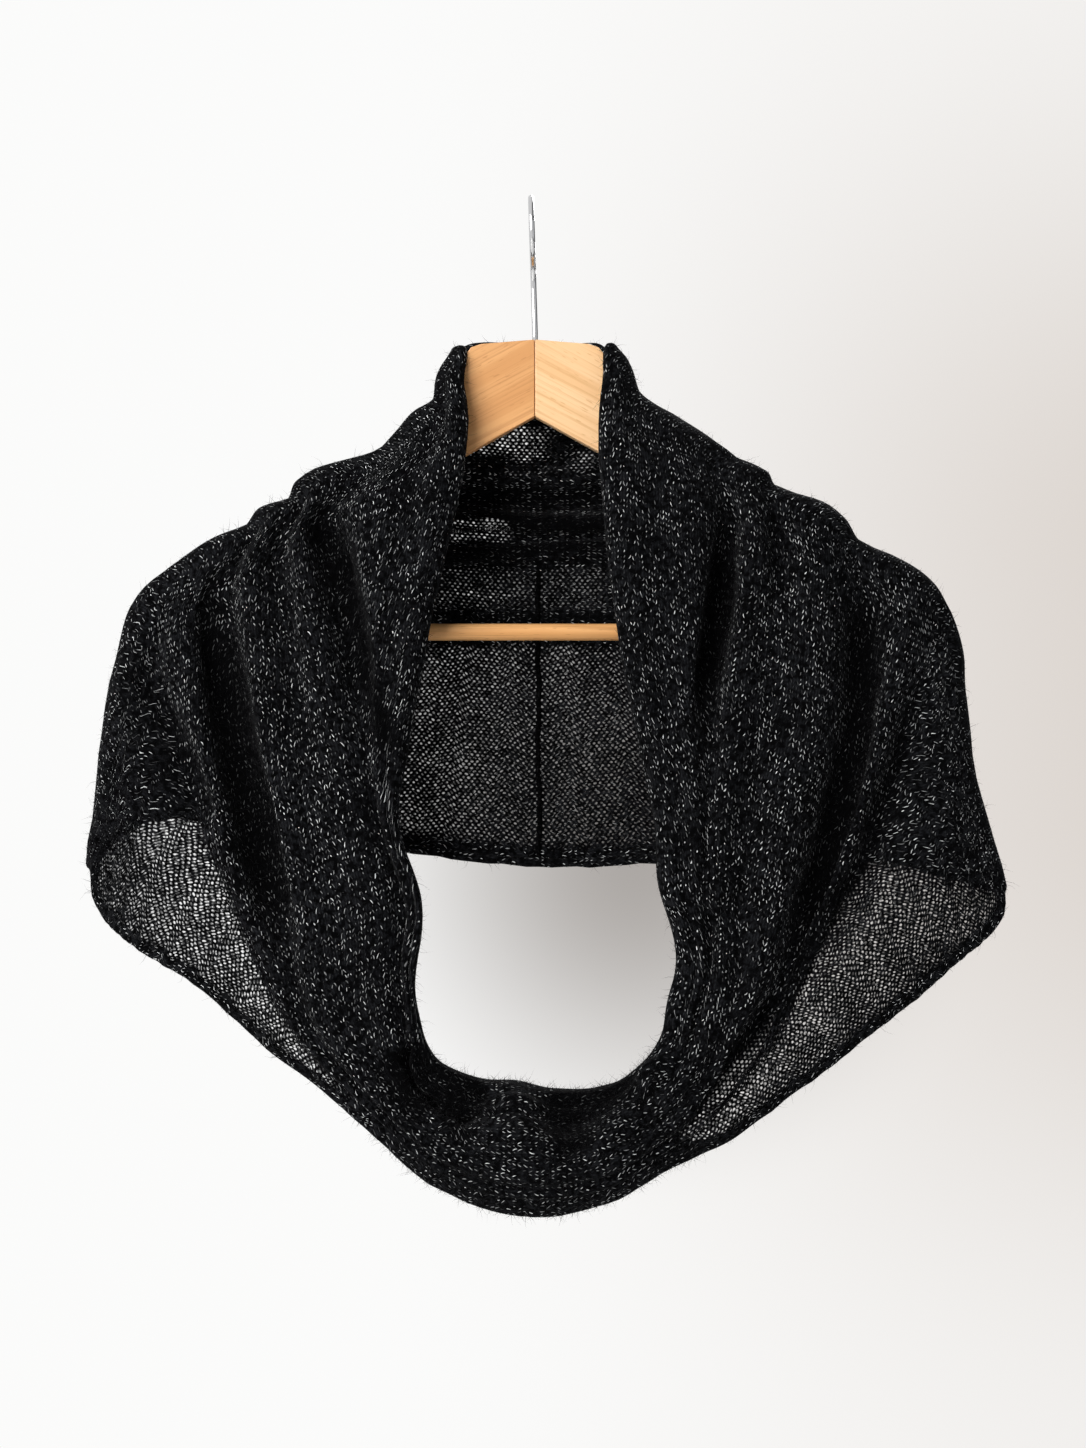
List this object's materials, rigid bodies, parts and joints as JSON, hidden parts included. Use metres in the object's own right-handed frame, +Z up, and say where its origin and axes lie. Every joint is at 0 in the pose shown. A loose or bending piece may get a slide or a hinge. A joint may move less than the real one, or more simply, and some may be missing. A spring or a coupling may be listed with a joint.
{
  "type": "infinity scarf on a hanger",
  "caption": "Knitted infinity scarf hanging open as a short cape over a wooden hanger with a trouser bar and a chrome hook.",
  "frame": {"origin": "the top inside the hook, where the hanger hangs from a rod", "axes": "+Z up, the front of the scarf faces -Y, +X is the right side in the front view"},
  "size_m": [0.5375, 0.0899, 0.5873],
  "materials": {
    "knit": "matte tweed knit",
    "seam": "matte",
    "warm_wood": "satin lacquer",
    "pale_wood": "satin lacquer",
    "bar_wood": "satin lacquer",
    "chrome": "polished"
  },
  "bodies": {
    "root": {"scarf_left_front": "knit", "scarf_left_back": "knit", "scarf_right_back": "knit", "scarf_right_front": "knit", "scarf_cowl": "knit", "scarf_back_seam": "seam", "hanger_left_arm": "warm_wood", "hanger_right_arm": "pale_wood", "hanger_bar": "bar_wood", "hanger_hook": "chrome"}
  },
  "joints": []
}
